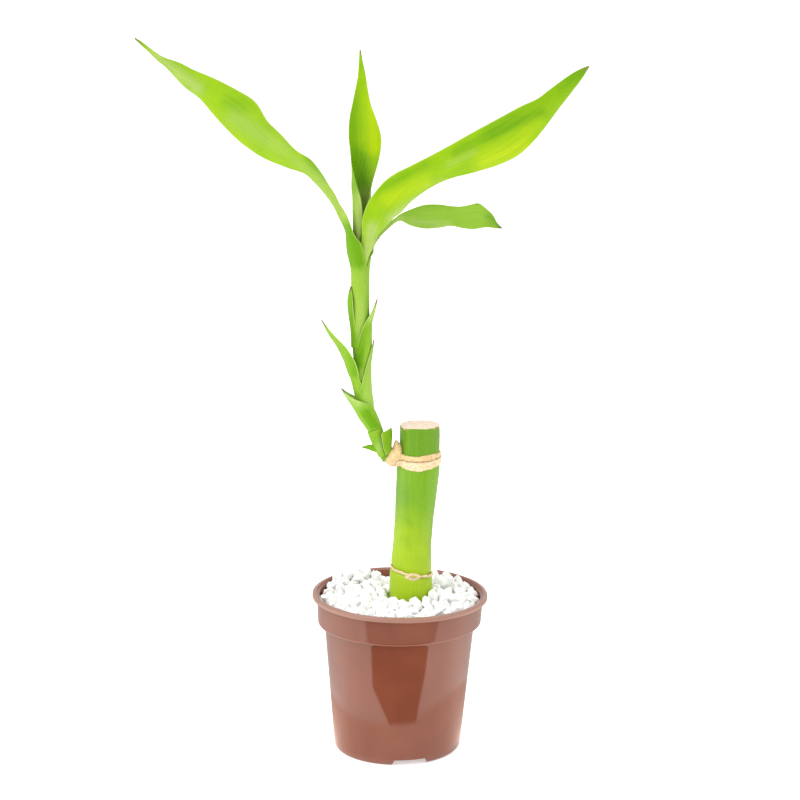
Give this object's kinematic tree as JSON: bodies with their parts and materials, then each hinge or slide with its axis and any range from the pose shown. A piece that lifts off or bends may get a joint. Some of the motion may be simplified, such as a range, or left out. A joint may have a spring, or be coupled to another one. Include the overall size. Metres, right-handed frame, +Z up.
{
  "type": "lucky bamboo in a pot",
  "caption": "Rooted cane of lucky bamboo with one leafy side shoot, standing in a small tapered nursery pot topped with white gravel.",
  "frame": {"origin": "centre of the flat base of the pot, on the surface it stands on", "axes": "+Z up along the pot's axis; +X to the right and +Y away, as seen in the picture; the shoot leans towards -X"},
  "size_m": [0.1457, 0.06, 0.2443],
  "materials": {
    "pot": "satin brown moulded plastic",
    "potting_mix": "dark peat and bark",
    "gravel": "matt white broken marble",
    "cane": "waxy green bark",
    "scar": "dry cream and tan cork",
    "shoot": "waxy green stem",
    "scale_leaf": "waxy green leaf with dry tips",
    "leaf": "waxy lime green leaf"
  },
  "bodies": {
    "root": {"pot": "pot", "potting_mix": "potting_mix", "gravel": "gravel", "cane": "cane", "lower_node_scar": "scar", "upper_node_scar": "scar", "shoot_stem": "shoot", "scale_leaf_1": "scale_leaf", "scale_leaf_2": "scale_leaf", "scale_leaf_3": "scale_leaf", "scale_leaf_4": "scale_leaf", "scale_leaf_5": "scale_leaf", "scale_leaf_6": "scale_leaf", "scale_leaf_7": "scale_leaf", "scale_leaf_8": "scale_leaf", "small_leaf": "leaf", "left_leaf": "leaf", "right_leaf": "leaf", "centre_leaf": "leaf"}
  },
  "joints": []
}
